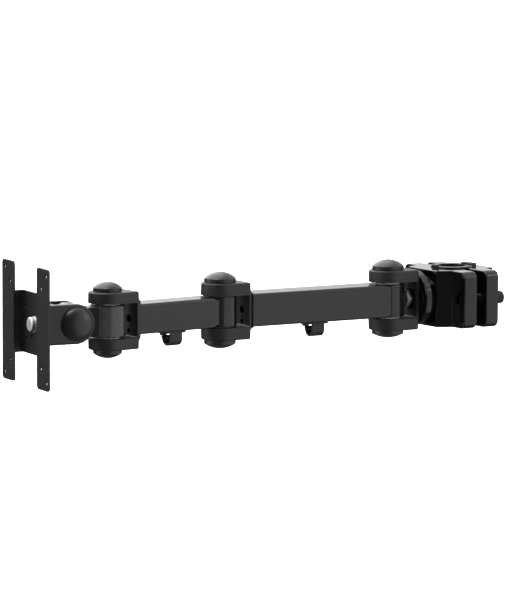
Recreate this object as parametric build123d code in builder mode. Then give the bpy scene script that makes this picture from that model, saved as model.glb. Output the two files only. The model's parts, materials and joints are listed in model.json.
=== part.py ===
from build123d import *

import os
from dataclasses import dataclass

# A two-section monitor arm on a pole clamp. Millimetres, +Z up along the pole.
# The origin is on the pole's axis at the middle of the clamp, and the screen faces -X.
# Each body has a frame of its own: x runs along it towards the pole, z is up.

# ---- rest pose and lengths -------------------------------------------------
clamp_yaw = 7.4  # degrees that each body is turned about its upright axis
rear_yaw = 4.5
front_yaw = 10.8
clamp_reach = 76.2  # pole axis to the rear arm's pivot
rear_length = 189.6  # pivot to pivot
front_length = 130.9
plate_reach = 84.3  # head pivot to the front of the screen plate
tilt_reach = 39.5  # head pivot to the tilt axis

# ---- steel forks, their plastic covers and caps ---------------------------
sheet = 3.7
back_inner = 24.3  # pivot to the back plate
back_outer = back_inner + sheet
bend_inner = 1.0  # radii of the folds beside the back plate
bend_outer = sheet + 0.8
ear_half = 15.0
cover_end = 25.0
cover_draft = 2.0  # degrees
cover_rim = 1.6  # fillet round the top of a cover
cover_corner = 3.0
cap_wall = 2.0
ledge_low = 0.4  # the sloped ledge inside a cap, from its skirt to its wall
ledge_high = 1.2
ear_gap = 0.2  # between an ear's edge and its cover
hood_radius = 12.3  # round opening in a cover, over the bolt head
skirt_inner = 10.4
skirt_depth = 4.0
fit_gap = 0.05  # running clearance on a radius
seat_gap = 0.1  # clearance between flat faces that turn on each other

# ---- box tubes and barrels -------------------------------------------------
tube_wall = 2.5
tube_corner = 2.5
least_corner = 0.6  # inside radius of a tube's corner
neck_in_length = 6.0  # the end of a tube is pressed in towards its barrel
neck_in_depth = 1.4
barrel_radius = 16.2
barrel_edge = 0.8
bush_radius = 8.0
bush_flange = 12.0
bush_length = 10.0

# ---- cable clips -----------------------------------------------------------
clip_base = 2.5
clip_base_length = 25.5
clip_width = 15.0
clip_wall = 2.2
clip_depth = 15.0
clip_mouth = 8.0  # underside of the tube to the hook's open lip
clip_lip = 1.8
clip_hook_place = 7.4
clip_hook_length = 13.4
clip_screw_place = 3.7
clip_corner = 1.5
clip_screw_head = 3.4
clip_screw_round = 1.2
clip_screw_past = 1.5  # how far the screw comes out inside the tube

# ---- fasteners -------------------------------------------------------------
m10 = 5.0  # shank radii
m8 = 4.0
m4 = 2.0
m10_hex = 17.0
m10_head = 6.4
m10_nut = 8.0
m10_washer = 10.0
m8_hex = 13.0
m8_head = 5.3
m8_washer = 8.5
washer_thick = 1.6
thin_washer = 1.2
thread_gap = 0.02
thread_end = 1.2  # thread that shows past a nut

# ---- pole clamp ------------------------------------------------------------
pole_radius = 14.0
liner_radius = 18.0
liner_flange = 20.5
liner_lip = 1.4
tab_thick = 1.6
tab_root = 1.0  # how far a liner's tab reaches back over the sleeve
tab_corner = 1.0
clamp_height = 56.0
clamp_half_width = 52.0
clamp_gap = 11.0  # between the body's flange and the jaw's
flange_thick = 15.0
hub_half_width = 31.0  # where the middle leaves the flange
face_half_width = 24.0
body_face = 35.0  # pole axis to the body's flat face
jaw_face = 33.0
flange_corner = 7.0
clamp_edge = 1.2
boss_radius = 22.0
boss_setback = 1.0  # the boss stops this far before the liner
disc_radius = 27.0
disc_thick = 7.5
disc_edge = 1.2
disc_back = clamp_reach - back_outer - disc_thick  # pole axis to the disc's back face
screw_offset = 41.0
screw_head = 6.2
screw_head_length = 9.0
screw_head_edge = 0.8
screw_washer = 7.7
screw_recess = 3.0  # the screw's end stays this far inside the body's flange
socket_width = 5.0
liner_split = 0.4
fork_bolt_head = 5.2
fork_bolt_setback = 2.0  # the fork bolt's end stays this far from the liner

# ---- head ------------------------------------------------------------------
block_radius = 17.0
block_height = 30.3
block_edge = 1.5
neck_width = 22.0
neck_height = block_height - 3.0
tongue_radius = 18.3
yoke_width = 38.0
yoke_radius = 19.0
yoke_base = 12.0  # solid length behind the plate
yoke_gap = 0.3  # between the yoke and the tongue, on each side
yoke_edge = 2.5
yoke_pocket = 4.2
friction_disc = 1.0
friction_disc_radius = 17.0
tilt_cap_radius = 15.7
tilt_cap_height = 8.0
tilt_cap_rim = 1.6
tilt_bush = 6.5
tilt_bush_rim = 9.5
tilt_bush_rim_thick = 0.2
tilt_bush_length = 9.0
tilt_nut_thick = 6.5
tilt_thread_end = 1.0
nut_pocket = 8.2
nut_depth = 6.8
nut_seat_depth = 0.8  # the plate nut is this much thinner than its pocket

# ---- screen plate ----------------------------------------------------------
plate_height = 114.0
plate_half_width = 56.0
strip_width = 28.0
plate_sheet = 2.0
plate_corner = 4.0
web_setback = 9.8
web_height = 59.0
vesa_hole = 2.5
vesa_large = 100.0
vesa_small = 75.0
web_hole = 2.0
web_holes_across = 41.0
web_holes_up = 30.0
pin_holes_across = 14.0
pin_holes_down = 12.0
plate_bolt_head = 7.0
plate_bolt_height = 4.5
plate_bolt_round = 1.6
plate_bolt_setback = 0.8
plate_washer_radius = 7.6


@dataclass
class Fork:
    """The sizes in which the three forks differ."""

    gap: float  # between the upper and lower covers
    cover_height: float
    cover_radius: float
    cap_radius: float
    cap_rim: float
    upper_cap: float  # heights of the two caps
    lower_cap: float


@dataclass
class Arm:
    """The sizes in which the two arm sections differ."""

    length: float
    height: float
    width: float
    clip_start: float  # pivot to the cable clip's base
    press_start: float  # how far before its barrel the tube starts to be pressed in


clamp_fork_size = Fork(
    gap=36.0, cover_height=11.5, cover_radius=19.2, cap_radius=15.6, cap_rim=4.0, upper_cap=10.2, lower_cap=8.0
)
rear_fork_size = Fork(
    gap=31.0, cover_height=12.0, cover_radius=18.6, cap_radius=15.4, cap_rim=4.0, upper_cap=10.2, lower_cap=9.0
)
front_fork_size = Fork(
    gap=33.6, cover_height=10.7, cover_radius=18.6, cap_radius=13.8, cap_rim=3.6, upper_cap=9.2, lower_cap=8.6
)
rear_arm = Arm(length=rear_length, height=32.2, width=31.5, clip_start=92.0, press_start=8.5)
front_arm = Arm(length=front_length, height=29.2, width=28.0, clip_start=60.6, press_start=15.8)


# ---- frames and planes -----------------------------------------------------
def frame_at(point, yaw):
    """A level frame at a point, turned about the vertical."""
    return Plane(origin=point, x_dir=Vector(1, 0, 0).rotate(Axis.Z, yaw), z_dir=(0, 0, 1))


def along(frame, distance):
    """The point that far along a frame's own length."""
    return frame.origin + frame.x_dir * distance


def stacked(frame, side, height):
    """The level plane at a height, facing up for side +1 and down for side -1."""
    return Plane(frame.origin + frame.z_dir * (side * height), frame.x_dir, frame.z_dir * side)


def across(frame, distance):
    """The plane square to a body's length: x is sideways and y is up."""
    return Plane(along(frame, distance), frame.y_dir, frame.x_dir)


def upright(frame):
    """The upright plane along a body: x runs along it and y is up."""
    return Plane(frame.origin, frame.x_dir, frame.y_dir * -1)


def beside(frame, side, distance, out):
    """The upright plane that faces sideways, at a distance along and out from the middle."""
    return Plane(along(frame, distance) + frame.y_dir * (side * out), frame.x_dir, frame.y_dir * side)


clamp_frame = frame_at((0, 0, 0), clamp_yaw)
clamp_pivot = frame_at(along(clamp_frame, -clamp_reach), clamp_yaw)
rear_end = frame_at(clamp_pivot.origin, rear_yaw)
rear_pivot = frame_at(along(rear_end, -rear_length), rear_yaw)
front_end = frame_at(rear_pivot.origin, front_yaw)
front_pivot = frame_at(along(front_end, -front_length), front_yaw)
head = frame_at(front_pivot.origin, 0)


# ---- fasteners -------------------------------------------------------------
def hex_bolt(seat, length, radius, across_flats, head_height):
    """A hexagon bolt whose head stands on the seat plane."""
    with BuildPart() as bolt:
        with BuildSketch(seat):
            RegularPolygon(across_flats / 2, 6, major_radius=False)
        extrude(amount=head_height)
        with BuildSketch(seat):
            Circle(radius)
        extrude(amount=-length)
    return bolt


def hex_nut(seat, radius, across_flats, thick):
    """A nut that stands on the seat plane."""
    with BuildPart() as nut:
        with BuildSketch(seat):
            RegularPolygon(across_flats / 2, 6, major_radius=False)
            Circle(radius + thread_gap, mode=Mode.SUBTRACT)
        extrude(amount=thick)
    return nut


def washers(seats, inner, outer, thick):
    """Flat washers, one on each seat plane."""
    with BuildPart() as rings:
        for seat in seats:
            with BuildSketch(seat):
                Circle(outer)
                Circle(inner, mode=Mode.SUBTRACT)
            extrude(amount=thick)
    return rings


def flanged_bushes(seats, inner, outer, flange, flange_depth, length):
    """A pair of bushes pressed in from both ends; each seat is an end face of the barrel."""
    with BuildPart() as bushes:
        for seat in seats:
            with BuildSketch(seat):
                Circle(flange)
                Circle(inner + fit_gap, mode=Mode.SUBTRACT)
            extrude(amount=flange_depth)
            with BuildSketch(seat):
                Circle(outer - thread_gap)
                Circle(inner + fit_gap, mode=Mode.SUBTRACT)
            extrude(amount=-length)
    return bushes


# ---- fork pieces -----------------------------------------------------------
def tongue_shape(radius, length):
    """A strip with a round end about the pivot, drawn in the open sketch."""
    Circle(radius)
    with Locations((length / 2, 0)):
        Rectangle(length, 2 * radius)


def fork_bracket(frame, fork, back_holes):
    """A flat steel bar bent into a C, with two round ears and a back plate."""
    half = fork.gap / 2 + sheet
    with BuildPart() as bracket:
        with BuildSketch(upright(frame)) as bend:
            with Locations(((back_outer - ear_half) / 2, 0)):
                Rectangle(back_outer + ear_half, 2 * half)
            with Locations(((back_inner - ear_half) / 2, 0)):
                Rectangle(back_inner + ear_half, fork.gap, mode=Mode.SUBTRACT)
            fillet(bend.vertices().group_by(Axis.X)[1], bend_inner)
            fillet(bend.vertices().group_by(Axis.X)[-1], bend_outer)
        extrude(amount=ear_half, both=True)
        with BuildSketch(stacked(frame, -1, half)):
            tongue_shape(ear_half, back_outer)
        extrude(amount=-2 * half, mode=Mode.INTERSECT)
        with BuildSketch(stacked(frame, -1, half)):
            Circle(m10 + thread_gap)
        extrude(amount=-2 * half, mode=Mode.SUBTRACT)
        with BuildSketch(across(frame, back_inner)):
            for height, radius in back_holes:
                with Locations((0, height)):
                    Circle(radius)
        extrude(amount=sheet, mode=Mode.SUBTRACT)
    return bracket


def ear_cover(frame, fork, side):
    """A moulded shell over one ear, with a round opening for the cap."""
    inner_face = stacked(frame, side, fork.gap / 2)
    with BuildPart() as cover:
        with BuildSketch(inner_face) as plan:
            tongue_shape(fork.cover_radius, cover_end)
            fillet(plan.vertices().group_by(Axis.X)[-1], cover_corner)
        extrude(amount=fork.cover_height, taper=cover_draft)
        top = cover.faces().sort_by(Axis(frame.origin, frame.z_dir * side))[-1]
        fillet(top.edges(), cover_rim)
        with BuildSketch(inner_face):
            tongue_shape(ear_half + ear_gap, back_outer)
        extrude(amount=sheet + fit_gap, mode=Mode.SUBTRACT)
        with BuildSketch(inner_face):
            Circle(hood_radius)
        extrude(amount=fork.cover_height, mode=Mode.SUBTRACT)
    return cover


def domed_cap(seat, radius, height, rim):
    """A hollow dome that stands on the seat plane, with a skirt that plugs into the opening."""
    inner = radius - cap_wall
    profile = Plane(seat.origin, seat.x_dir, seat.y_dir * -1)
    with BuildPart() as cap:
        with BuildSketch(profile):
            with BuildLine():
                Bezier((0, height), (0.52 * radius, height), (0.86 * radius, 0.62 * height), (radius, rim))
                Polyline(
                    (radius, rim),
                    (radius, 0),
                    (hood_radius - fit_gap, 0),
                    (hood_radius - fit_gap, -skirt_depth),
                    (skirt_inner, -skirt_depth),
                    (skirt_inner, ledge_low),
                    (inner, ledge_high),
                )
                Bezier(
                    (inner, ledge_high),
                    (0.80 * radius, 0.62 * height - cap_wall),
                    (0.50 * radius, height - cap_wall),
                    (0, height - cap_wall),
                )
                Line((0, height - cap_wall), (0, height))
            make_face()
        revolve(axis=Axis(seat.origin, seat.z_dir))
    return cap


def fork_set(name, frame, fork, back_holes):
    """Everything that a fork is made of, with its pivot bolt, by node name."""
    bolt_seat = fork.gap / 2 + sheet + washer_thick
    pieces = {f"{name}_fork": fork_bracket(frame, fork, back_holes)}
    for side, place, cap_height in ((1, "upper", fork.upper_cap), (-1, "lower", fork.lower_cap)):
        cap_seat = stacked(frame, side, fork.gap / 2 + fork.cover_height)
        pieces[f"{name}_cover_{place}"] = ear_cover(frame, fork, side)
        pieces[f"{name}_cap_{place}"] = domed_cap(cap_seat, fork.cap_radius, cap_height, fork.cap_rim)
    pieces[f"{name}_pivot_bolt"] = hex_bolt(
        stacked(frame, 1, bolt_seat), 2 * bolt_seat + m10_nut + thread_end, m10, m10_hex, m10_head
    )
    pieces[f"{name}_pivot_nut"] = hex_nut(stacked(frame, -1, bolt_seat), m10, m10_hex, m10_nut)
    ears = [stacked(frame, side, fork.gap / 2 + sheet) for side in (1, -1)]
    pieces[f"{name}_pivot_washers"] = washers(ears, m10 + thread_gap, m10_washer, washer_thick)
    return pieces


# ---- arm pieces ------------------------------------------------------------
def box_tube(frame, arm):
    """A rounded box tube, pressed in at its end and cut to sit round its barrel."""
    press = arm.length - arm.press_start
    with BuildPart() as tube:
        for inset, mode in ((0, Mode.ADD), (tube_wall, Mode.SUBTRACT)):
            wide = arm.width - 2 * inset
            high = arm.height - 2 * inset
            corner = max(tube_corner - inset, least_corner)
            with BuildSketch(across(frame, back_outer)):
                RectangleRounded(wide, high, corner)
            extrude(amount=press - back_outer, mode=mode)
            with BuildSketch(across(frame, press)):
                RectangleRounded(wide, high, corner)
            with BuildSketch(across(frame, press + neck_in_length)):
                RectangleRounded(wide - 2 * neck_in_depth, high - 2 * neck_in_depth, corner)
            loft(mode=mode)
        with BuildSketch(stacked(frame, 1, -arm.height)):
            with Locations((arm.length, 0)):
                Circle(barrel_radius + thread_gap)
        extrude(amount=2 * arm.height, mode=Mode.SUBTRACT)
        with BuildSketch(stacked(frame, -1, arm.height / 2)):
            with Locations((arm.clip_start + clip_screw_place, 0)):
                Circle(m4 + thread_gap)
        extrude(amount=-2 * tube_wall, mode=Mode.SUBTRACT)
    return tube


def arm_barrel(frame, height):
    """The upright sleeve welded into a tube's end, bored for two bushes."""
    with BuildPart() as sleeve:
        with BuildSketch(stacked(frame, 1, -height / 2)):
            Circle(barrel_radius)
        extrude(amount=height)
        fillet(sleeve.edges().filter_by(GeomType.CIRCLE), barrel_edge)
        with BuildSketch(stacked(frame, 1, -height / 2)):
            Circle(bush_radius)
        extrude(amount=height, mode=Mode.SUBTRACT)
    return sleeve


def cable_clip(frame, arm):
    """A moulded clip under a tube: a flat base and a hook that is open on its far side."""
    top = -arm.height / 2
    inside = (clip_width - clip_wall) / 2
    bend = top - clip_depth + inside
    mouth = top - clip_mouth
    with BuildPart() as clip:
        with BuildSketch(stacked(frame, 1, top - clip_base)):
            with Locations((arm.clip_start + clip_base_length / 2, 0)):
                RectangleRounded(clip_base_length, clip_width, clip_corner)
        extrude(amount=clip_base)
        with BuildSketch(across(frame, arm.clip_start + clip_hook_place)):
            with BuildLine():
                Line((-inside, top - clip_base / 2), (-inside, bend))
                ThreePointArc((-inside, bend), (0, bend - inside + clip_wall / 2), (inside, bend))
                Line((inside, bend), (inside, mouth))
                Line((inside, mouth), (inside + clip_lip, mouth + clip_lip))
            trace(line_width=clip_wall)
        extrude(amount=clip_hook_length)
        with BuildSketch(stacked(frame, 1, top - clip_base)):
            with Locations((arm.clip_start + clip_screw_place, 0)):
                Circle(m4 + thread_gap)
        extrude(amount=clip_base, mode=Mode.SUBTRACT)
    return clip


def clip_screw(frame, arm):
    """A low round-headed screw that holds a clip to the underside of its tube."""
    place = along(frame, arm.clip_start + clip_screw_place)
    seat = stacked(Plane(place, frame.x_dir, frame.z_dir), -1, arm.height / 2 + clip_base)
    with BuildPart() as screw:
        with BuildSketch(seat):
            Circle(clip_screw_head)
        extrude(amount=m4)
        fillet(screw.edges().sort_by(Axis.Z)[0], clip_screw_round)
        with BuildSketch(seat):
            Circle(m4)
        extrude(amount=-(clip_base + tube_wall + clip_screw_past))
    return screw


def arm_set(name, frame, end, arm, joint_gap):
    """A tube from its own fork to its barrel, with bushes and a cable clip."""
    ends = [stacked(end, side, arm.height / 2) for side in (1, -1)]
    flange_depth = (joint_gap - arm.height) / 2 - seat_gap
    return {
        f"{name}_tube": box_tube(frame, arm),
        f"{name}_barrel": arm_barrel(end, arm.height),
        f"{name}_bushes": flanged_bushes(ends, m10, bush_radius, bush_flange, flange_depth, bush_length),
        f"{name}_cable_clip": cable_clip(frame, arm),
        f"{name}_clip_screw": clip_screw(frame, arm),
    }


# ---- pole clamp ------------------------------------------------------------
def clamp_half(side, face):
    """One cast half of the clamp: side -1 is the body, with a boss for the disc, +1 the jaw."""
    split = side * clamp_gap / 2
    flange_back = side * (clamp_gap / 2 + flange_thick)
    with BuildPart() as half:
        with BuildSketch(stacked(clamp_frame, 1, -clamp_height / 2)):
            with BuildLine():
                Polyline(
                    (split, -clamp_half_width),
                    (flange_back, -clamp_half_width),
                    (flange_back, -hub_half_width),
                    (side * face, -face_half_width),
                    (side * face, face_half_width),
                    (flange_back, hub_half_width),
                    (flange_back, clamp_half_width),
                    (split, clamp_half_width),
                    close=True,
                )
            make_face()
        extrude(amount=clamp_height)
        with BuildSketch(across(clamp_frame, 0)):
            RectangleRounded(2 * clamp_half_width, clamp_height, flange_corner)
        extrude(amount=side * 2 * face, mode=Mode.INTERSECT)
        fillet(half.edges(), clamp_edge)
        if side < 0:
            with BuildSketch(across(clamp_frame, -disc_back)):
                Circle(boss_radius)
            extrude(amount=disc_back - liner_radius - boss_setback)
            with BuildSketch(across(clamp_frame, -disc_back)):
                Circle(m10 + thread_gap)
            extrude(amount=disc_back - pole_radius, mode=Mode.SUBTRACT)
        with BuildSketch(stacked(clamp_frame, 1, -clamp_height / 2)):
            Circle(liner_radius)
        extrude(amount=clamp_height, mode=Mode.SUBTRACT)
        with BuildSketch(across(clamp_frame, 0)):
            with Locations((-screw_offset, 0), (screw_offset, 0)):
                Circle(m10 + fit_gap)
        extrude(amount=side * 2 * face, mode=Mode.SUBTRACT)
    return half


def pole_liner(side, tab_width, tab_reach):
    """Half a plastic sleeve round the pole, with a lip at both ends and a tab on top."""
    top = clamp_height / 2 + fit_gap
    tab_top = top + liner_lip + tab_thick
    with BuildPart() as liner:
        with BuildSketch(stacked(clamp_frame, 1, -top)):
            Circle(liner_radius - thread_gap)
        extrude(amount=2 * top)
        for end in (1, -1):
            with BuildSketch(stacked(clamp_frame, end, top)):
                Circle(liner_flange)
            extrude(amount=liner_lip)
        with BuildSketch(stacked(clamp_frame, 1, top)):
            with Locations((side * (liner_radius - tab_root + tab_reach / 2), 0)):
                RectangleRounded(tab_reach, tab_width, tab_corner)
        extrude(amount=tab_top - top)
        with BuildSketch(stacked(clamp_frame, 1, -tab_top)):
            Circle(pole_radius)
        extrude(amount=2 * tab_top, mode=Mode.SUBTRACT)
        with BuildSketch(across(clamp_frame, side * liner_split)):
            Rectangle(4 * liner_flange, 4 * clamp_height)
        extrude(amount=-side * 4 * liner_flange, mode=Mode.SUBTRACT)
    return liner


def clamp_screw(sideways):
    """A socket screw through the jaw into the body's flange."""
    face = across(clamp_frame, clamp_gap / 2 + flange_thick + washer_thick)
    seat = Plane(face.origin + face.x_dir * sideways, face.x_dir, face.z_dir)
    with BuildPart() as screw:
        with BuildSketch(seat):
            Circle(screw_head)
        extrude(amount=screw_head_length)
        fillet(screw.edges().sort_by(Axis(seat.origin, seat.z_dir))[-1], screw_head_edge)
        with BuildSketch(seat):
            Circle(m10)
        extrude(amount=-(washer_thick + 2 * flange_thick + clamp_gap - screw_recess))
        with BuildSketch(seat.offset(screw_head_length)):
            RegularPolygon(socket_width / 2, 6, major_radius=False)
        extrude(amount=-socket_width, mode=Mode.SUBTRACT)
    return screw


with BuildPart() as clamp_disc:
    with BuildSketch(across(clamp_frame, -disc_back)):
        Circle(disc_radius)
    extrude(amount=-disc_thick)
    fillet(clamp_disc.edges().filter_by(GeomType.CIRCLE), disc_edge)
    with BuildSketch(across(clamp_frame, -disc_back)):
        Circle(m10 + thread_gap)
    extrude(amount=-disc_thick, mode=Mode.SUBTRACT)

fork_bolt_seat = across(clamp_pivot, back_inner - washer_thick)
fork_bolt_seat = Plane(fork_bolt_seat.origin, fork_bolt_seat.x_dir, fork_bolt_seat.z_dir * -1)
fork_bolt_length = clamp_reach - liner_radius - fork_bolt_setback - (back_inner - washer_thick)
clamp_fork_bolt = hex_bolt(fork_bolt_seat, fork_bolt_length, m10, m10_hex, fork_bolt_head)
clamp_fork_washer = washers([fork_bolt_seat], m10 + thread_gap, m10_washer, -washer_thick)
jaw_seats = [
    Plane(seat.origin + seat.x_dir * sideways, seat.x_dir, seat.z_dir)
    for seat in [across(clamp_frame, clamp_gap / 2 + flange_thick)]
    for sideways in (-screw_offset, screw_offset)
]
clamp_screw_washers = washers(jaw_seats, m10 + fit_gap, screw_washer, washer_thick - seat_gap)

# ---- head ------------------------------------------------------------------
plate_front = -plate_reach
web_front = plate_front + web_setback
web_back = web_front + plate_sheet
yoke_front = web_back + friction_disc + seat_gap
yoke_slot = yoke_front + yoke_base

with BuildPart() as swivel_block:
    with BuildSketch(stacked(head, 1, -block_height / 2)):
        Circle(block_radius)
    extrude(amount=block_height)
    fillet(swivel_block.edges().filter_by(GeomType.CIRCLE), block_edge)
    with BuildSketch(upright(head)):
        with Locations((-tilt_reach, 0)):
            Circle(tongue_radius)
        with Locations((-tilt_reach / 2, 0)):
            Rectangle(tilt_reach, neck_height)
    extrude(amount=neck_width / 2, both=True)
    with BuildSketch(stacked(head, 1, -block_height / 2)):
        Circle(bush_radius)
    extrude(amount=block_height, mode=Mode.SUBTRACT)
    with BuildSketch(beside(head, -1, -tilt_reach, neck_width / 2)):
        Circle(tilt_bush)
    extrude(amount=-neck_width, mode=Mode.SUBTRACT)

with BuildPart() as tilt_yoke:
    with BuildSketch(upright(head)):
        with Locations((-tilt_reach, 0)):
            Circle(yoke_radius)
        with Locations(((yoke_front - tilt_reach) / 2, 0)):
            Rectangle(-tilt_reach - yoke_front, 2 * yoke_radius)
    extrude(amount=yoke_width / 2, both=True)
    sides = tilt_yoke.faces().filter_by(GeomType.PLANE).sort_by(Axis.Y)
    fillet(sides[0].edges() + sides[-1].edges(), yoke_edge)
    with BuildSketch(upright(head)):
        with Locations((yoke_slot + yoke_radius * 2, 0)):
            Rectangle(yoke_radius * 4, 4 * yoke_radius)
    extrude(amount=neck_width / 2 + yoke_gap, both=True, mode=Mode.SUBTRACT)
    with BuildSketch(beside(head, -1, -tilt_reach, yoke_width / 2)):
        Circle(m8 + thread_gap)
    extrude(amount=-yoke_width, mode=Mode.SUBTRACT)
    for side in (-1, 1):
        with BuildSketch(beside(head, side, -tilt_reach, yoke_width / 2)):
            Circle(hood_radius)
        extrude(amount=-yoke_pocket, mode=Mode.SUBTRACT)
    with BuildSketch(across(head, yoke_front)):
        Circle(m8 + fit_gap)
    extrude(amount=yoke_base, mode=Mode.SUBTRACT)
    with BuildSketch(across(head, yoke_slot)):
        Circle(nut_pocket)
    extrude(amount=-nut_depth, mode=Mode.SUBTRACT)

block_ends = [stacked(head, side, block_height / 2) for side in (1, -1)]
block_flange = (front_fork_size.gap - block_height) / 2 - seat_gap
swivel_bushes = flanged_bushes(block_ends, m10, bush_radius, bush_flange, block_flange, bush_length)
tongue_sides = [beside(head, side, -tilt_reach, neck_width / 2) for side in (1, -1)]
tilt_bushes = flanged_bushes(
    tongue_sides, m8, tilt_bush, tilt_bush_rim, tilt_bush_rim_thick, tilt_bush_length
)

# ---- tilt bolt and caps ----------------------------------------------------
pocket_floor = yoke_width / 2 - yoke_pocket
tilt_seats = [beside(head, side, -tilt_reach, pocket_floor) for side in (-1, 1)]
tilt_washers = washers(tilt_seats, m8 + thread_gap, m8_washer, thin_washer)
tilt_bolt_length = 2 * (pocket_floor + thin_washer) + tilt_nut_thick + tilt_thread_end
tilt_bolt = hex_bolt(tilt_seats[0].offset(thin_washer), tilt_bolt_length, m8, m8_hex, m8_head)
tilt_nut = hex_nut(tilt_seats[1].offset(thin_washer), m8, m8_hex, tilt_nut_thick)
tilt_cap_near, tilt_cap_far = [
    domed_cap(
        beside(head, side, -tilt_reach, yoke_width / 2), tilt_cap_radius, tilt_cap_height, tilt_cap_rim
    )
    for side in (-1, 1)
]

# ---- screen plate ----------------------------------------------------------
strip_middle = plate_half_width - strip_width / 2
strip_inner = plate_half_width - strip_width

with BuildPart() as vesa_plate:
    with BuildSketch(across(head, plate_front)):
        with Locations((-strip_middle, 0), (strip_middle, 0)):
            RectangleRounded(strip_width, plate_height, plate_corner)
    extrude(amount=plate_sheet)
    with BuildSketch(head):
        with BuildLine():
            Polyline(
                (web_back, -strip_inner - plate_sheet),
                (web_back, strip_inner + plate_sheet),
                (plate_front, strip_inner + plate_sheet),
                (plate_front, strip_inner),
                (web_front, strip_inner),
                (web_front, -strip_inner),
                (plate_front, -strip_inner),
                (plate_front, -strip_inner - plate_sheet),
                close=True,
            )
        make_face()
    extrude(amount=web_height / 2, both=True)
    with BuildSketch(across(head, plate_front)):
        with GridLocations(vesa_large, vesa_large, 2, 2):
            Circle(vesa_hole)
        with GridLocations(vesa_small, vesa_small, 2, 2):
            Circle(vesa_hole)
    extrude(amount=plate_sheet, mode=Mode.SUBTRACT)
    with BuildSketch(across(head, web_front)):
        Circle(m8 + thread_gap)
        with GridLocations(web_holes_across, web_holes_up, 2, 2):
            Circle(web_hole)
        with Locations((0, -pin_holes_down)):
            with GridLocations(pin_holes_across, 0, 2, 1):
                Circle(web_hole)
    extrude(amount=plate_sheet, mode=Mode.SUBTRACT)

plate_seat = across(head, web_front)
plate_seat = Plane(plate_seat.origin, plate_seat.x_dir, plate_seat.z_dir * -1)
plate_washer = washers([plate_seat], m8 + thread_gap, plate_washer_radius, thin_washer)
with BuildPart() as plate_bolt:
    with BuildSketch(plate_seat.offset(thin_washer)):
        Circle(plate_bolt_head)
    extrude(amount=plate_bolt_height)
    fillet(plate_bolt.edges().sort_by(Axis.X)[0], plate_bolt_round)
    with BuildSketch(plate_seat.offset(thin_washer)):
        Circle(m8)
    extrude(amount=-(thin_washer + yoke_slot - web_front - plate_bolt_setback))
nut_seat = across(head, yoke_slot - nut_depth + seat_gap)
plate_nut = hex_nut(nut_seat, m8, m8_hex, nut_depth - nut_seat_depth)
plate_friction_disc = washers(
    [across(head, web_back)], m8 + thread_gap, friction_disc_radius, friction_disc
)

# ---- all pieces, by node name ----------------------------------------------
pieces = {
    "clamp_body": clamp_half(-1, body_face),
    "clamp_disc": clamp_disc,
    "clamp_fork_bolt": clamp_fork_bolt,
    "clamp_fork_washer": clamp_fork_washer,
    "pole_liner_inner": pole_liner(-1, tab_width=8.0, tab_reach=4.0),
    "clamp_jaw": clamp_half(1, jaw_face),
    "pole_liner_outer": pole_liner(1, tab_width=16.0, tab_reach=8.0),
    "clamp_screw_near": clamp_screw(-screw_offset),
    "clamp_screw_far": clamp_screw(screw_offset),
    "clamp_screw_washers": clamp_screw_washers,
    "swivel_block": swivel_block,
    "swivel_bushes": swivel_bushes,
    "tilt_bushes": tilt_bushes,
    "tilt_yoke": tilt_yoke,
    "tilt_bolt": tilt_bolt,
    "tilt_nut": tilt_nut,
    "tilt_washers": tilt_washers,
    "tilt_cap_near": tilt_cap_near,
    "tilt_cap_far": tilt_cap_far,
    "vesa_plate": vesa_plate,
    "plate_bolt": plate_bolt,
    "plate_washer": plate_washer,
    "plate_nut": plate_nut,
    "plate_friction_disc": plate_friction_disc,
}
arm_holes = [(0, 3.75), (-11.5, 2.25)]  # height and radius of the holes in an arm's back plate
pieces |= fork_set("clamp", clamp_pivot, clamp_fork_size, [(0, m10 + thread_gap)])
pieces |= fork_set("rear", rear_pivot, rear_fork_size, arm_holes)
pieces |= fork_set("front", front_pivot, front_fork_size, arm_holes)
pieces |= arm_set("rear", rear_pivot, rear_end, rear_arm, clamp_fork_size.gap)
pieces |= arm_set("front", front_pivot, front_end, front_arm, rear_fork_size.gap)

os.makedirs("parts", exist_ok=True)
for name, piece in pieces.items():
    piece.part.label = name
    export_step(piece.part, f"parts/{name}.step")
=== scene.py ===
import json
import math

import bmesh
import bpy
from bpy.props import FloatProperty, FloatVectorProperty, IntProperty, PointerProperty
from mathutils import Matrix, Vector

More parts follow.
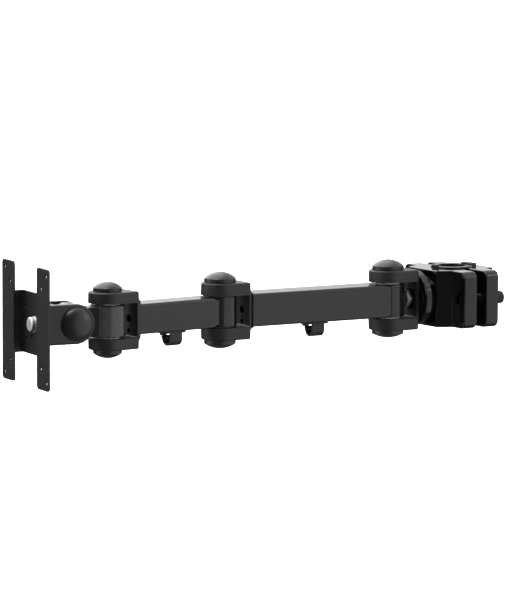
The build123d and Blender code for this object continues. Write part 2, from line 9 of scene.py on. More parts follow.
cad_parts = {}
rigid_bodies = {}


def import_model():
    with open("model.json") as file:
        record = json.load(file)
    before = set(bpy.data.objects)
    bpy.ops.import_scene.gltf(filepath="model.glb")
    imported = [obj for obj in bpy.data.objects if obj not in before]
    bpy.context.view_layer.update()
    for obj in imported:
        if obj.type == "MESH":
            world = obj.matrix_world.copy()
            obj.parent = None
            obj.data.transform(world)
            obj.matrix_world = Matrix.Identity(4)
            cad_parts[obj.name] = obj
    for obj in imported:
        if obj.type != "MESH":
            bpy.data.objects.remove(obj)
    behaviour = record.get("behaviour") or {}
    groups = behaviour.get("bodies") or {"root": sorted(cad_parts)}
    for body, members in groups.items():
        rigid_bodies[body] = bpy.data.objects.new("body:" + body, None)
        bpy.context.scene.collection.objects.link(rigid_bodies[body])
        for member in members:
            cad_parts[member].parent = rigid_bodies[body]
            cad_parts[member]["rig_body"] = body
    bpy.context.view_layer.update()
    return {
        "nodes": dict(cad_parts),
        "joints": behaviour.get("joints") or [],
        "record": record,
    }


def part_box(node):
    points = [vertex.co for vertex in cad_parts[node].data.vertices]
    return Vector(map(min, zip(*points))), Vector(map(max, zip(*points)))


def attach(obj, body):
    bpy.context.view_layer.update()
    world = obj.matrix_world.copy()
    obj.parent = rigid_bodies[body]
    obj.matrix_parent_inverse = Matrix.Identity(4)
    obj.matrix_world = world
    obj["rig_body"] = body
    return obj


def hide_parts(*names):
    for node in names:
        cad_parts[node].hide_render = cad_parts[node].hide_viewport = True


bl_info = {
    "name": "Monitor Arm",
    "version": (1, 0, 0),
    "blender": (4, 5, 0),
    "location": "3D View > Sidebar > Monitor Arm",
    "description": "Dresses the packed monitor arm with finishes, soft edges, screws and welds",
    "category": "Object",
}

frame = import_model()

SLOTS = {part["node"]: part["material_slot"] for part in frame["record"]["subparts"]}
JOINTS = {joint["name"]: joint for joint in frame["joints"]}
UP = Vector((0, 0, 1))
CAMERA_TURN = math.radians(25.5)
CAMERA_DIP = math.radians(6.79)
CAMERA_RIGHT = Vector((math.cos(CAMERA_TURN), -math.sin(CAMERA_TURN), 0))
CAMERA_LEVEL = Vector((math.sin(CAMERA_TURN), math.cos(CAMERA_TURN), 0))
FORKS = ("clamp", "rear", "front")
ARMS = ("rear", "front")

MERGE = 0.00002  # points that are closer than this are one
FLAT = math.radians(0.6)  # faces that turn less than this are one flat face
SHARP = 32  # degrees; edges that turn more than this are rounded
BARREL_REACH = 0.0172  # the head's barrel lies within this distance of its pivot
BOLT_RADIUS = 0.005  # shanks of the clamp's screws and of the fork bolt
BOLT_CHAMFER = 0.46  # radius of the fork bolt's round top, as a share of its width across flats
WELD_CORNER = 0.0025  # radius of a root weld's corners
CLIP_HEAD_RADIUS = 0.0034
CLIP_HEAD_HEIGHT = 0.002
CLIP_SHANK_RADIUS = 0.002
SCREW_HEAD_BEVEL = 0.0007
SHANK_BEVEL = 0.0006
HEXAGON_BEVEL = 0.0002

MOTTLE = 0.018  # sizes of the patches in a finish, in metres
SMUDGE = 0.011
RUBBED = 0.004
TARNISH = 0.006
SPECKS = 0.0012
TURNING_MARKS = 0.0004

FLOOR_RADIUS = 60
LAMPS = (  # name, place, width and height in metres, and power in watts
    ("overhead_softbox", (-0.9, -0.3, 1.5), 0.7, 0.5, 9),
    ("left_softbox", (-2.1, -0.5, 0.7), 0.5, 1.0, 8),
    ("right_softbox", (1.9, -1.5, 0.9), 0.35, 0.9, 6),
    ("back_softbox", (0.2, 2.2, 0.9), 1.2, 0.5, 6),
)
LAMP_TARGET = Vector((-0.2, -0.03, 0))
CAMERA_LENS = 267.96  # millimetres, on a sensor 36 wide
CAMERA_ROLL = math.radians(0.16)
CAMERA_ASIDE = 0.1373  # the camera's place from the head's pivot, along its own directions
CAMERA_ABOVE = 0.0194
CAMERA_BACK = 4.216

DIM = 0.096  # glow of the studio away from its banks of light
BANKS = (  # direction, cosines at the edge and where the bank is full, and glow
    (CAMERA_RIGHT * 0.966 - CAMERA_LEVEL * 0.259, 0.60, 0.74, 0.88),
    (CAMERA_RIGHT * -0.985 - CAMERA_LEVEL * 0.174, 0.86, 0.95, 1.52),
    (CAMERA_LEVEL * 0.6 + UP * 0.8, 0.38, 0.60, 1.04),
    (CAMERA_LEVEL * 0.45 + UP * 0.8 - CAMERA_RIGHT * 0.4, 0.77, 0.88, 2.4),
)


# ---- sizes and colours that a user would change ----------------------------
def length(name, description, default):
    """A length in metres."""
    return FloatProperty(
        name=name, description=description, default=default, unit="LENGTH", precision=5
    )


def colour(name, description, default):
    """A paint or plastic colour."""
    return FloatVectorProperty(
        name=name, description=description, default=default, subtype="COLOR", min=0.0, max=1.0
    )


class ArmSizes(bpy.types.PropertyGroup):
    """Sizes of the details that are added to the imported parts."""

    moulding_edge: length("Moulding edge", "Rounding on the covers' and caps' edges", 0.00035)
    sheet_edge: length("Sheet edge", "Rounding on the edges of cut and bent sheet", 0.0003)
    casting_edge: length("Casting edge", "Rounding on the head's cast edges", 0.0005)
    bead: length("Weld bead", "Radius of the welds' beads", 0.0011)
    pitch: length("Thread pitch", "Distance between two turns of the clamp screws' thread", 0.0015)
    thread_depth: length("Thread depth", "Depth of the clamp screws' thread", 0.0007)
    screw_head: length("Screw head", "Length of a clamp screw's head", 0.009)
    knurl_depth: length("Knurl depth", "Depth of the grooves round a screw's head", 0.00035)
    knurl_grooves: IntProperty(
        name="Knurl grooves",
        description="Grooves round a clamp screw's head",
        default=40,
        min=12,
        max=80,
    )
    socket: length("Socket width", "Width across flats of a clamp screw's socket", 0.0056)
    bolt_head: length("Fork bolt head", "Height of the fork bolt's head", 0.0052)
    bolt_flats: length("Fork bolt flats", "Width across flats of the fork bolt's head", 0.017)
    floor_drop: length("Floor drop", "Distance from the clamp's middle down to the floor", 1.1)


class ArmColours(bpy.types.PropertyGroup):
    """Colours of the paints, plastics and platings; the head barrel's paint is lightened with painted
    reflection.
    """

    gloss: colour("Gloss paint", "Paint on the castings", (0.0018, 0.0018, 0.0020))
    satin: colour("Satin paint", "Powder coat on the plate, yoke and forks", (0.0040, 0.0040, 0.0047))
    tube: colour("Tube paint", "Paint on the tubes and barrels", (0.0058, 0.0058, 0.0056))
    # The head barrel's colour is partly its real dark satin paint and partly painted reflection: it
    # is lighter, to stand in for light that the barrel would reflect.
    barrel: colour("Head barrel paint with painted reflection", "Paint on the head's barrel, lightened with painted reflection", (0.026, 0.026, 0.026))
    cover: colour("Cover plastic", "Plastic of the covers and clips", (0.0048, 0.0049, 0.0052))
    cap: colour("Cap plastic", "Plastic of the domed caps", (0.0060, 0.0063, 0.0078))
    liner: colour("Liner plastic", "Plastic of the pole liner", (0.0060, 0.0060, 0.0066))
    nylon: colour("Bush nylon", "Nylon of the bushes", (0.62, 0.60, 0.55))
    zinc: colour("Zinc", "Zinc plate on bolts, nuts and washers", (0.80, 0.81, 0.83))
    oxide: colour("Black oxide", "Blackened steel of the clamp screws", (0.045, 0.045, 0.048))
    floor: colour("Floor", "The pale floor", (0.92, 0.92, 0.92))


# ---- shader maths ----------------------------------------------------------
class Varying:
    """A number that changes over a surface; arithmetic on it adds Math nodes."""

    def __init__(self, surface, socket):
        self.surface = surface
        self.socket = socket

    def maths(self, operation, first, second):
        return self.surface.node("ShaderNodeMath", {"operation": operation}, {0: first, 1: second})

    def __add__(self, other):
        return self.maths("ADD", self, other)

    __radd__ = __add__

    def __mul__(self, other):
        return self.maths("MULTIPLY", self, other)

    __rmul__ = __mul__

    def __sub__(self, other):
        return self.maths("SUBTRACT", self, other)

    def __rsub__(self, other):
        return self.maths("SUBTRACT", other, self)


class Surface:
    """A material with one Principled shader, whose patterns follow the object's own coordinates."""

    def __init__(self, name):
        self.material = bpy.data.materials.new(name)
        self.material.use_nodes = True
        self.tree = self.material.node_tree
        self.tree.nodes.clear()
        self.shader = self.tree.nodes.new("ShaderNodeBsdfPrincipled")
        output = self.tree.nodes.new("ShaderNodeOutputMaterial")
        self.tree.links.new(self.shader.outputs["BSDF"], output.inputs["Surface"])
        self.place = self.node("ShaderNodeTexCoord", output="Object")

    def node(self, kind, settings=(), inputs=(), output=0):
        """One node: its settings are set first, then the values or links of its sockets."""
        made = self.tree.nodes.new(kind)
        for name, value in dict(settings).items():
            if name == "stops":
                for stop, (position, shade) in zip(made.color_ramp.elements, value):
                    stop.position = position
                    stop.color = (shade, shade, shade, 1.0)
            else:
                setattr(made, name, value)
        for key, value in dict(inputs).items():
            self.join(made.inputs[key], value)
        return Varying(self, made.outputs[output])

    def join(self, socket, value):
        if isinstance(value, Varying):
            self.tree.links.new(value.socket, socket)
        else:
            socket.default_value = value

    def finish(self, **sockets):
        """Sets the shader's sockets, with underscores for the spaces in their names."""
        for name, value in sockets.items():
            self.join(self.shader.inputs[name.replace("_", " ")], value)
        return self.material

    def noise(self, size, detail=2.0):
        """Smooth noise from 0 to 1 whose lumps are about that size, in metres."""
        return self.node(
            "ShaderNodeTexNoise", inputs={"Vector": self.place, "Scale": 1 / size, "Detail": detail}
        )

    def mask(self, size, low, high, detail=3.0):
        """Patches that are 0 below one level of the noise and 1 above another."""
        patches = self.noise(size, detail)
        return self.node("ShaderNodeValToRGB", {"stops": [(low, 0.0), (high, 1.0)]}, {"Fac": patches})

    def blend(self, factor, first, second):
        """A colour between two."""
        return self.node(
            "ShaderNodeMix", {"data_type": "RGBA"}, {0: factor, 6: (*first, 1), 7: (*second, 1)}, 2
        )

    def bump(self, height, depth):
        """The surface's normal over a height from 0 to 1 that stands for that depth, in metres."""
        return self.node(
            "ShaderNodeBump", {}, {"Strength": 1.0, "Distance": depth, "Height": height}, "Normal"
        )


def scaled(shade, factor):
    """A colour made lighter or darker."""
    return tuple(min(channel * factor, 1.0) for channel in shade)


def coating(name, shade, gloss, peel, grain, worn=0.0, tint=0.12, ior=1.5):
    """Paint or plastic: peel and grain are the sizes and depths of its two bumps, in metres."""
    surface = Surface(name)
    mottle = surface.noise(MOTTLE, 3.0)
    tone = surface.blend(mottle, scaled(shade, 1 - tint), scaled(shade, 1 + tint))
    smudge = surface.noise(SMUDGE, 4.0)
    roughness = gloss + 0.10 * gloss * (smudge * 2 - 1)
    if worn:
        rubbed = surface.mask(RUBBED, 0.42, 0.62)
        tone = surface.blend(rubbed * 0.7 + mottle * 0.3, scaled(shade, 1.1), scaled(shade, worn))
        roughness = roughness - 0.12 * gloss * rubbed
    depth = peel[1] + grain[1]
    height = surface.noise(peel[0], 1.0) * (peel[1] / depth)
    height = height + surface.noise(grain[0], 2.0) * (grain[1] / depth)
    return surface.finish(
        Base_Color=tone,
        Roughness=roughness,
        Normal=surface.bump(height, depth),
        IOR=ior,
    )


def bare_metal(name, shade, gloss, tarnish):
    """Plated or blackened steel, with faint turning marks and uneven tarnish."""
    surface = Surface(name)
    clouds = surface.noise(TARNISH, 4.0)
    specks = surface.mask(SPECKS, 0.55, 0.75)
    tone = surface.blend(clouds, scaled(shade, 1.0), tarnish)
    roughness = gloss + 0.12 * clouds + 0.10 * specks
    marks = surface.noise(TURNING_MARKS, 2.0)
    return surface.finish(
        Base_Color=tone, Metallic=1.0, Roughness=roughness, Normal=surface.bump(marks, 0.000004)
    )


COATINGS = {  # colour, roughness, size and depth of the peel, size and depth of the grain, the rest
    "gloss_paint": ("gloss", 0.085, (0.0035, 0.000016), (0.0005, 0.0000006), {}),
    "satin_powder_coat": ("satin", 0.40, (0.0016, 0.000006), (0.00035, 0.000005), {}),
    "satin_powder_coat_edge": (
        "satin", 0.36, (0.0016, 0.000004), (0.00035, 0.000003), {"worn": 2.6}
    ),
    "tube_enamel": ("tube", 0.20, (0.0030, 0.000004), (0.0005, 0.0000008), {}),
    "tube_enamel_edge": ("tube", 0.20, (0.0030, 0.000004), (0.0005, 0.000001), {"worn": 2.4}),
    "textured_cover": ("cover", 0.50, (0.0011, 0.000010), (0.00042, 0.000016), {}),
    "textured_cover_edge": (
        "cover", 0.40, (0.0011, 0.000005), (0.00042, 0.000006), {"worn": 1.9}
    ),
    "domed_cap": ("cap", 0.36, (0.0013, 0.000006), (0.00034, 0.000009), {}),
    "domed_cap_edge": ("cap", 0.34, (0.0013, 0.000004), (0.00034, 0.000004), {"worn": 1.9}),
    # The head barrel's finish: its satin paint, lightened with painted reflection.
    "barrel_enamel": ("barrel", 0.24, (0.0030, 0.000004), (0.0005, 0.0000008), {}),
    "barrel_enamel_edge": (
        "barrel", 0.24, (0.0030, 0.000004), (0.0005, 0.0000008), {"worn": 1.6}
    ),
    # The neck's finish: the castings' gloss black paint, with its reflection cut down by a low IOR as
    # painted shade for the recessed neck.
    "neck_paint": ("gloss", 0.16, (0.0030, 0.000006), (0.0005, 0.0000006), {"ior": 1.25}),
    "liner_moulding": ("liner", 0.34, (0.0022, 0.000006), (0.0004, 0.000004), {}),
    "bush_nylon": ("nylon", 0.42, (0.0020, 0.000005), (0.0004, 0.000003), {"tint": 0.04}),
}
BARE_METALS = {  # colour, roughness, and the colour of the tarnish
    "bright_zinc": ("zinc", 0.42, (0.66, 0.68, 0.70)),
    "black_oxide": ("oxide", 0.34, (0.028, 0.028, 0.030)),
}
FINISH_OF_SLOT = {
    "gloss_casting": "gloss_paint",
    "satin_paint": "satin_powder_coat",
    "tube_paint": "tube_enamel",
    "moulded_cover": "textured_cover",
    "liner_plastic": "liner_moulding",
    "bush_plastic": "bush_nylon",
    "zinc_steel": "bright_zinc",
    "black_steel": "black_oxide",
}
finishes_made = {}


def finish_for(name):
    """The material of that name, made the first time that it is asked for."""
    if name not in finishes_made:
        shades = bpy.context.scene.arm_colours
        if name in COATINGS:
            shade, gloss, peel, grain, rest = COATINGS[name]
            made = coating(name, getattr(shades, shade), gloss, peel, grain, **rest)
        else:
            shade, gloss, tarnish = BARE_METALS[name]
            made = bare_metal(name, getattr(shades, shade), gloss, tarnish)
        finishes_made[name] = made
    return finishes_made[name]


# ---- modelling helpers -----------------------------------------------------
def take(piece):
    """Makes a piece the only one that is selected, and active."""
    bpy.ops.object.select_all(action="DESELECT")
    piece.select_set(True)
    bpy.context.view_layer.objects.active = piece


def edit(piece):
    """Opens a piece for editing with nothing selected."""
    take(piece)
    bpy.ops.object.mode_set(mode="EDIT")
    bpy.ops.mesh.select_all(action="DESELECT")


def done():
    bpy.ops.object.mode_set(mode="OBJECT")


def pick_points(piece, wanted):
    """Selects the points for which wanted(place) is true, and nothing else."""
    bpy.ops.mesh.select_mode(type="VERT")
    bpy.ops.mesh.select_all(action="DESELECT")
    shape = bmesh.from_edit_mesh(piece.data)
    for point in shape.verts:
        point.select = bool(wanted(point.co))
    shape.select_flush(True)
    bmesh.update_edit_mesh(piece.data)


def tidy(piece):
    """Merges doubles and turns every face outwards."""
    edit(piece)
    bpy.ops.mesh.select_all(action="SELECT")
    bpy.ops.mesh.remove_doubles(threshold=MERGE)
    bpy.ops.mesh.normals_make_consistent(inside=False)
    done()


def modify(piece, kind, **settings):
    """Adds a modifier and applies it."""
    take(piece)
    modifier = piece.modifiers.new(kind.title(), kind)
    for name, value in settings.items():
        setattr(modifier, name, value)
    bpy.ops.object.modifier_apply(modifier=modifier.name)


def bevel(piece, width, segments, turn, **settings):
    """Rounds the edges that turn more than that many degrees."""
    modify(
        piece,
        "BEVEL",
        width=width,
        segments=segments,
        limit_method="ANGLE",
        angle_limit=math.radians(turn),
        **settings,
    )


def cut_away(piece, tool):
    """Cuts one piece's shape out of another, and deletes the tool."""
    modify(piece, "BOOLEAN", operation="DIFFERENCE", solver="EXACT", object=tool)
    bpy.data.objects.remove(tool)


def join(pieces):
    """Makes several pieces one, under the first one's name."""
    bpy.ops.object.select_all(action="DESELECT")
    for piece in pieces:
        piece.select_set(True)
    bpy.context.view_layer.objects.active = pieces[0]
    bpy.ops.object.join()
    return pieces[0]


def apply_place(piece):
    """Moves a piece's place, turn and scale into its mesh."""
    take(piece)
    bpy.ops.object.transform_apply(location=True, rotation=True, scale=True)
    return piece


def stand(piece, point, direction, sideways=UP):
    """Lays a piece that was built up its own Z along a direction from a point."""
    z = Vector(direction).normalized()
    x = (sideways - z * sideways.dot(z)).normalized()
    turned = Matrix((x, z.cross(x), z)).transposed().to_4x4()
    piece.matrix_world = Matrix.Translation(point) @ turned
    apply_place(piece)


def smooth(piece, angle=35):
    take(piece)
    bpy.ops.object.shade_smooth_by_angle(angle=math.radians(angle))


def settle(piece, name, body, finishes, stands_for=()):
    """Names a finished piece, gives it its finishes, and lets it ride on its body."""
    piece.name = name
    piece.data.name = name
    piece.data.materials.clear()
    for finish in finishes:
        piece.data.materials.append(finish_for(finish))
    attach(piece, body)
    if stands_for:
        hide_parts(*stands_for)


def body_of(node):
    return frame["nodes"][node]["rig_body"]


def soften(node, radius, finish):
    """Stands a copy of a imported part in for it, with rounded edges in the finish's edge version."""
    mesh = frame["nodes"][node].data.copy()
    piece = bpy.data.objects.new(f"{node}_soft", mesh)
    bpy.context.scene.collection.objects.link(piece)
    mesh.materials.clear()
    for name in (finish, f"{finish}_edge"):
        mesh.materials.append(finish_for(name))
    take(piece)
    bpy.ops.mesh.customdata_custom_splitnormals_clear()
    edit(piece)
    bpy.ops.mesh.select_all(action="SELECT")
    bpy.ops.mesh.remove_doubles(threshold=MERGE)
    bpy.ops.mesh.dissolve_limited(angle_limit=FLAT)
    done()
    bevel(piece, radius, 2, SHARP, use_clamp_overlap=True, material=1)
    smooth(piece)
    modify(piece, "WEIGHTED_NORMAL", keep_sharp=True)
    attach(piece, body_of(node))
    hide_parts(node)
    return piece


def span(node, point, direction):
    """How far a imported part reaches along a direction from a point: (least, most)."""
    reach = [(corner.co - point).dot(direction) for corner in frame["nodes"][node].data.vertices]
    return min(reach), max(reach)


def joint_point(name):
    return Vector(JOINTS[name]["pos_m"])


def arm_line(name):
    """An arm section's fork pivot, its direction towards the pole, and its sideways direction."""
    near, far = {
        "rear": ("front_arm_swivel", "rear_arm_swivel"),
        "front": ("head_swivel", "front_arm_swivel"),
    }[name]
    pivot = joint_point(near)
    direction = (joint_point(far) - pivot).normalized()
    return pivot, direction, UP.cross(direction)


class Surroundings:
    """A world whose glow depends on direction; the camera sees it as plain white."""

    def __init__(self, tree):
        self.tree = tree
        self.direction = self.node("ShaderNodeTexCoord", output="Generated")

    node = Surface.node
    join = Surface.join

    def bank(self, towards, edge, full):
        """A round bank of light: 1 inside it, fading to 0 at its edge, both as cosines."""
        settings = {"operation": "DOT_PRODUCT"}
        inputs = {0: self.direction, 1: towards}
        facing = self.node("ShaderNodeVectorMath", settings, inputs, "Value")
        return self.node(
            "ShaderNodeMapRange",
            {"interpolation_type": "SMOOTHSTEP"},
            {"Value": facing, "From Min": edge, "From Max": full},
        )

    def light(self, glow):
        seen = self.node("ShaderNodeLightPath", output="Is Camera Ray")
        strength = seen * 1.0 + (1 - seen) * glow
        background = self.node(
            "ShaderNodeBackground", inputs={"Color": (1, 1, 1, 1), "Strength": strength}
        )
        output = self.tree.nodes.new("ShaderNodeOutputWorld")
        self.tree.links.new(background.socket, output.inputs["Surface"])


# ---- operators -------------------------------------------------------------
class Build:
    """What all the operators have in common."""

    bl_options = {"REGISTER", "UNDO"}


class MONITORARM_OT_finishes(Build, bpy.types.Operator):
    """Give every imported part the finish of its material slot"""

    bl_idname = "monitor_arm.finishes"
    bl_label = "Finishes"

    def execute(self, context):
        for name, node in frame["nodes"].items():
            node.data.materials.clear()
            node.data.materials.append(finish_for(FINISH_OF_SLOT[SLOTS[name]]))
        return {"FINISHED"}


class MONITORARM_OT_covers(Build, bpy.types.Operator):
    """Round the edges of the moulded covers, caps and cable clips"""

    bl_idname = "monitor_arm.covers"
    bl_label = "Covers and caps"

    def execute(self, context):
        edge = context.scene.arm_sizes.moulding_edge
        for fork in FORKS:
            for place in ("upper", "lower"):
                soften(f"{fork}_cover_{place}", edge, "textured_cover")
                soften(f"{fork}_cap_{place}", edge, "domed_cap")
        for place in ("near", "far"):
            soften(f"tilt_cap_{place}", edge, "domed_cap")
        for arm in ARMS:
            soften(f"{arm}_cable_clip", edge, "textured_cover")
        return {"FINISHED"}


class MONITORARM_OT_steelwork(Build, bpy.types.Operator):
    """Round the edges of the forks, the tubes, the screen plate and its yoke"""

    bl_idname = "monitor_arm.steelwork"
    bl_label = "Steelwork"

    def execute(self, context):
        sizes = context.scene.arm_sizes
        for fork in FORKS:
            soften(f"{fork}_fork", sizes.sheet_edge, "satin_powder_coat")
        for arm in ARMS:
            soften(f"{arm}_tube", sizes.sheet_edge, "tube_enamel")
        soften("vesa_plate", sizes.sheet_edge, "satin_powder_coat")
        soften("tilt_yoke", sizes.casting_edge, "satin_powder_coat")
        # The finish of the swivel block's barrel is lightened with painted reflection.
        self.paint_neck_with_painted_shade(soften("swivel_block", sizes.casting_edge, "barrel_enamel"))
        return {"FINISHED"}

    def paint_neck_with_painted_shade(self, block):
        """Gives the part of the swivel block that stands off its barrel a deep black paint that
        reflects little: partly the real gloss black paint, partly painted shade for the shade that
        falls on the neck.
        """
        pivot = joint_point("head_swivel")
        block.data.materials.append(finish_for("neck_paint"))
        for face in block.data.polygons:
            away = face.center - pivot
            if math.hypot(away.x, away.y) > BARREL_REACH and away.x < 0:
                face.material_index = 2


class MONITORARM_OT_welds(Build, bpy.types.Operator):
    """Lay a weld bead round each tube's root"""

    bl_idname = "monitor_arm.welds"
    bl_label = "Welds"

    def execute(self, context):
        bead = context.scene.arm_sizes.bead
        for arm in ARMS:
            pivot, direction, sideways = arm_line(arm)
            root, _ = span(f"{arm}_tube", pivot, direction)
            half_width = span(f"{arm}_tube", pivot, sideways)[1]
            half_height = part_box(f"{arm}_tube")[1].z
            self.root_bead(arm, pivot + direction * root, direction, half_width, half_height, bead)
        return {"FINISHED"}

    def root_bead(self, arm, point, direction, half_width, half_height, bead):
        """A bead in a rounded rectangle round a tube: a ring whose quarters are moved apart."""
        bpy.ops.mesh.primitive_torus_add(
            major_radius=WELD_CORNER, minor_radius=bead, major_segments=48, minor_segments=12
        )
        ring = bpy.context.object
        edit(ring)
        for x_side in (-1, 1):
            for y_side in (-1, 1):
                pick_points(ring, lambda at: at.x * x_side > 0 and at.y * y_side > 0)
                up = x_side * (half_height - WELD_CORNER)
                out = y_side * (half_width - WELD_CORNER)
                bpy.ops.transform.translate(value=(up, out, 0))
        done()
        smooth(ring, 60)
        stand(ring, point, direction)
        settle(ring, f"{arm}_root_weld", f"{arm}_arm", ["tube_enamel"])


class MONITORARM_OT_clamp_screws(Build, bpy.types.Operator):
    """Make the two knurled and threaded screws that close the jaw"""

    bl_idname = "monitor_arm.clamp_screws"
    bl_label = "Clamp screws"

    def execute(self, context):
        sizes = context.scene.arm_sizes
        direction = Vector(JOINTS["jaw_slide"]["axis"]).normalized()
        for place, joint in (("near", "screw_turn"), ("far", "screw_far_turn")):
            node = f"clamp_screw_{place}"
            point = joint_point(joint)
            low, high = span(node, point, direction)
            radius = (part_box(node)[1].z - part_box(node)[0].z) / 2
            head = self.head(radius, sizes)
            shank = self.shank(high - low - sizes.screw_head, BOLT_RADIUS, sizes)
            screw = join([head, shank])
            smooth(screw)
            stand(screw, point + direction * (high - sizes.screw_head), direction)
            body = f"screw_{place}"
            settle(screw, f"{node}_detailed", body, ["black_oxide"], [node])
        return {"FINISHED"}

    def head(self, radius, sizes):
        """A knurled round head with a hexagon socket, standing on its seat."""
        points = 2 * sizes.knurl_grooves
        height = sizes.screw_head
        bpy.ops.mesh.primitive_cylinder_add(
            vertices=points, radius=radius, depth=height, location=(0, 0, height / 2)
        )
        head = apply_place(bpy.context.object)
        bevel(head, SCREW_HEAD_BEVEL, 2, 60)
        edit(head)
        step = math.tau / points
        pick_points(
            head,
            lambda at: math.hypot(at.x, at.y) > radius - 0.0001
            and round(math.atan2(at.y, at.x) / step) % 2 == 0,
        )
        shrink = 1 - sizes.knurl_depth / radius
        bpy.ops.transform.resize(value=(shrink, shrink, 1), center_override=(0, 0, 0))
        done()
        bpy.ops.mesh.primitive_cylinder_add(
            vertices=6,
            radius=sizes.socket / 2 / math.cos(math.pi / 6),
            depth=height,
            location=(0, 0, height),
        )
        cut_away(head, bpy.context.object)
        return head

    def shank(self, reach, radius, sizes):
        """A threaded rod below the head's seat: one ridge, repeated down its length."""
        ridge = []
        for upward in (False, True):
            bottom = radius - sizes.thread_depth if upward else radius
            top = radius if upward else radius - sizes.thread_depth
            bpy.ops.mesh.primitive_cone_add(
                vertices=32,
                radius1=bottom,
                radius2=top,
                depth=sizes.pitch / 2,
                end_fill_type="NOTHING",
                location=(0, 0, -sizes.pitch * (0.75 if upward else 0.25)),
            )
            ridge.append(apply_place(bpy.context.object))
        rod = join(ridge)
        tidy(rod)
        modify(
            rod,
            "ARRAY",
            count=int(reach / sizes.pitch),
            use_relative_offset=False,
            use_constant_offset=True,
            constant_offset_displace=(0, 0, -sizes.pitch),
            use_merge_vertices=True,
            merge_threshold=MERGE,
        )
        edit(rod)
        lowest = min(point.co.z for point in rod.data.vertices)
        for end in (0, lowest):
            pick_points(rod, lambda at: abs(at.z - end) < MERGE)
            bpy.ops.mesh.edge_face_add()
        done()
        tidy(rod)
        return rod


class MONITORARM_OT_fork_bolt(Build, bpy.types.Operator):
    """Make the bright hexagon bolt that holds the clamp's fork to its disc"""

    bl_idname = "monitor_arm.fork_bolt"
    bl_label = "Fork bolt"

    def execute(self, context):
        sizes = context.scene.arm_sizes
        inward = Vector(JOINTS["jaw_slide"]["axis"]).normalized()
        pivot = joint_point("rear_arm_swivel")
        low, high = span("clamp_fork_bolt", pivot, inward)
        corner = sizes.bolt_flats / 2 / math.cos(math.pi / 6)
        bpy.ops.mesh.primitive_cylinder_add(
            vertices=6, radius=corner, depth=sizes.bolt_head, location=(0, 0, sizes.bolt_head / 2)
        )
        head = apply_place(bpy.context.object)
        bpy.ops.mesh.primitive_cone_add(
            vertices=96,
            radius1=corner * 1.9,
            radius2=sizes.bolt_flats * BOLT_CHAMFER,
            depth=corner,
            location=(0, 0, sizes.bolt_head - corner / 2),
        )
        chamfer = bpy.context.object
        modify(head, "BOOLEAN", operation="INTERSECT", solver="EXACT", object=chamfer)
        bpy.data.objects.remove(chamfer)
        shank_length = high - low - sizes.bolt_head
        bpy.ops.mesh.primitive_cylinder_add(
            vertices=48,
            radius=BOLT_RADIUS,
            depth=shank_length,
            location=(0, 0, -shank_length / 2),
        )
        shank = apply_place(bpy.context.object)
        bevel(shank, SHANK_BEVEL, 1, 60)
        bevel(head, HEXAGON_BEVEL, 2, 20)
        bolt = join([head, shank])
        smooth(bolt)
        stand(bolt, pivot + inward * (low + sizes.bolt_head), -inward)
        name = "clamp_fork_bolt_detailed"
        settle(bolt, name, "clamp", ["bright_zinc"], ["clamp_fork_bolt"])
        return {"FINISHED"}


class MONITORARM_OT_small_screws(Build, bpy.types.Operator):
    """Make the cable clips' cross-recessed screws"""

    bl_idname = "monitor_arm.small_screws"
    bl_label = "Clip screws"

    def execute(self, context):
        for arm in ARMS:
            node = f"{arm}_clip_screw"
            lowest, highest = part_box(node)
            middle = (lowest + highest) / 2
            point = Vector((middle.x, middle.y, lowest.z))
            screw = self.pan_screw(highest.z - lowest.z)
            stand(screw, point, -UP, sideways=arm_line(arm)[1])
            body = f"{arm}_arm"
            settle(screw, f"{node}_detailed", body, ["black_oxide"], [node])
        return {"FINISHED"}

    def pan_screw(self, whole):
        """A low rounded head with a cross recess, its top at the origin and its shank below."""
        bpy.ops.mesh.primitive_cylinder_add(
            vertices=40,
            radius=CLIP_HEAD_RADIUS,
            depth=CLIP_HEAD_HEIGHT,
            location=(0, 0, -CLIP_HEAD_HEIGHT / 2),
        )
        head = apply_place(bpy.context.object)
        edit(head)
        pick_points(head, lambda at: at.z > -MERGE)
        bpy.ops.mesh.bevel(offset=CLIP_HEAD_HEIGHT * 0.6, segments=4)
        done()
        for turn in (0, math.pi / 2):
            bpy.ops.mesh.primitive_cube_add(size=1, rotation=(0, 0, turn))
            bar = bpy.context.object
            bar.scale = (CLIP_HEAD_RADIUS * 1.1, CLIP_HEAD_RADIUS * 0.22, CLIP_HEAD_HEIGHT * 1.2)
            cut_away(head, apply_place(bar))
        depth = whole - CLIP_HEAD_HEIGHT
        bpy.ops.mesh.primitive_cylinder_add(
            vertices=24,
            radius=CLIP_SHANK_RADIUS,
            depth=depth,
            location=(0, 0, -CLIP_HEAD_HEIGHT - depth / 2),
        )
        screw = join([head, apply_place(bpy.context.object)])
        smooth(screw)
        return screw


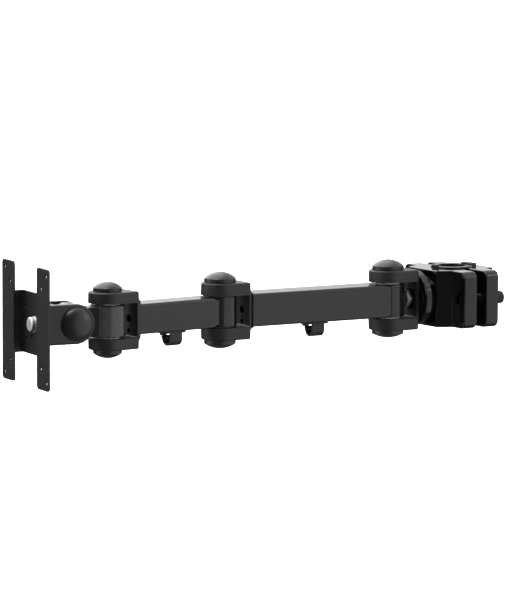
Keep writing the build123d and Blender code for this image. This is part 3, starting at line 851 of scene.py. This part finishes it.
class MONITORARM_OT_stage(Build, bpy.types.Operator):
    """Set up the pale floor, the soft lights and the camera"""

    bl_idname = "monitor_arm.stage"
    bl_label = "Stage"

    def execute(self, context):
        self.floor(context.scene)
        self.surroundings(context.scene)
        self.lights(context.scene)
        self.camera(context.scene)
        return {"FINISHED"}

    def floor(self, scene):
        bpy.ops.mesh.primitive_circle_add(
            vertices=128,
            radius=FLOOR_RADIUS,
            fill_type="NGON",
            location=(0, 0, -scene.arm_sizes.floor_drop),
        )
        floor = bpy.context.object
        floor.name = "floor"
        surface = Surface("pale_floor")
        shade = scene.arm_colours.floor
        tone = surface.blend(surface.noise(0.8), scaled(shade, 0.985), shade)
        floor.data.materials.append(
            surface.finish(
                Base_Color=tone, Roughness=0.9, Emission_Color=tone, Emission_Strength=1.15
            )
        )
        floor.visible_glossy = False

    def surroundings(self, scene):
        """A dim studio with a bright bank overhead and behind, and a soft bank on either side."""
        world = bpy.data.worlds.new("studio")
        scene.world = world
        world.use_nodes = True
        world.node_tree.nodes.clear()
        studio = Surroundings(world.node_tree)
        glow = DIM
        for towards, edge, full, strength in BANKS:
            glow = glow + studio.bank(towards.normalized(), edge, full) * strength
        studio.light(glow)
        scene.view_settings.view_transform = "Standard"

    def lights(self, scene):
        for name, place, across, up, power in LAMPS:
            lamp = bpy.data.lights.new(name, "AREA")
            lamp.shape = "RECTANGLE"
            lamp.size = across
            lamp.size_y = up
            lamp.energy = power
            light = bpy.data.objects.new(name, lamp)
            scene.collection.objects.link(light)
            light.location = place
            light.rotation_euler = (LAMP_TARGET - light.location).to_track_quat("-Z", "Y").to_euler()

    def camera(self, scene):
        """A long lens, a little above the arm and to the left of square on."""
        lens = bpy.data.cameras.new("camera")
        lens.sensor_width = 36
        lens.lens = CAMERA_LENS
        lens.clip_end = 200
        camera = bpy.data.objects.new("camera", lens)
        scene.collection.objects.link(camera)
        forward = CAMERA_LEVEL * math.cos(CAMERA_DIP) - UP * math.sin(CAMERA_DIP)
        above = CAMERA_LEVEL * math.sin(CAMERA_DIP) + UP * math.cos(CAMERA_DIP)
        place = joint_point("head_swivel") + CAMERA_RIGHT * CAMERA_ASIDE
        place = place + above * CAMERA_ABOVE - forward * CAMERA_BACK
        facing = Matrix((CAMERA_RIGHT, above, -forward)).transposed().to_4x4()
        roll = Matrix.Rotation(CAMERA_ROLL, 4, "Z")
        camera.matrix_world = Matrix.Translation(place) @ facing @ roll
        scene.camera = camera


# ---- sidebar and registration ----------------------------------------------
OPERATORS = (
    MONITORARM_OT_finishes,
    MONITORARM_OT_covers,
    MONITORARM_OT_steelwork,
    MONITORARM_OT_welds,
    MONITORARM_OT_clamp_screws,
    MONITORARM_OT_fork_bolt,
    MONITORARM_OT_small_screws,
    MONITORARM_OT_stage,
)


class MONITORARM_PT_sidebar(bpy.types.Panel):
    """The arm's groups of pieces, with their sizes and colours"""

    bl_label = "Monitor Arm"
    bl_idname = "MONITORARM_PT_sidebar"
    bl_space_type = "VIEW_3D"
    bl_region_type = "UI"
    bl_category = "Monitor Arm"

    def draw(self, context):
        for operator in OPERATORS:
            self.layout.operator(operator.bl_idname)
        for group in (context.scene.arm_sizes, context.scene.arm_colours):
            column = self.layout.column()
            for name in group.__annotations__:
                column.prop(group, name)


CLASSES = (ArmSizes, ArmColours, *OPERATORS, MONITORARM_PT_sidebar)


def register():
    for group in CLASSES:
        bpy.utils.register_class(group)
    bpy.types.Scene.arm_sizes = PointerProperty(type=ArmSizes)
    bpy.types.Scene.arm_colours = PointerProperty(type=ArmColours)


def unregister():
    del bpy.types.Scene.arm_colours
    del bpy.types.Scene.arm_sizes
    for group in reversed(CLASSES):
        bpy.utils.unregister_class(group)


def main():
    register()
    for operator in OPERATORS:
        group, name = operator.bl_idname.split(".")
        getattr(getattr(bpy.ops, group), name)()


if __name__ == "__main__":
    main()
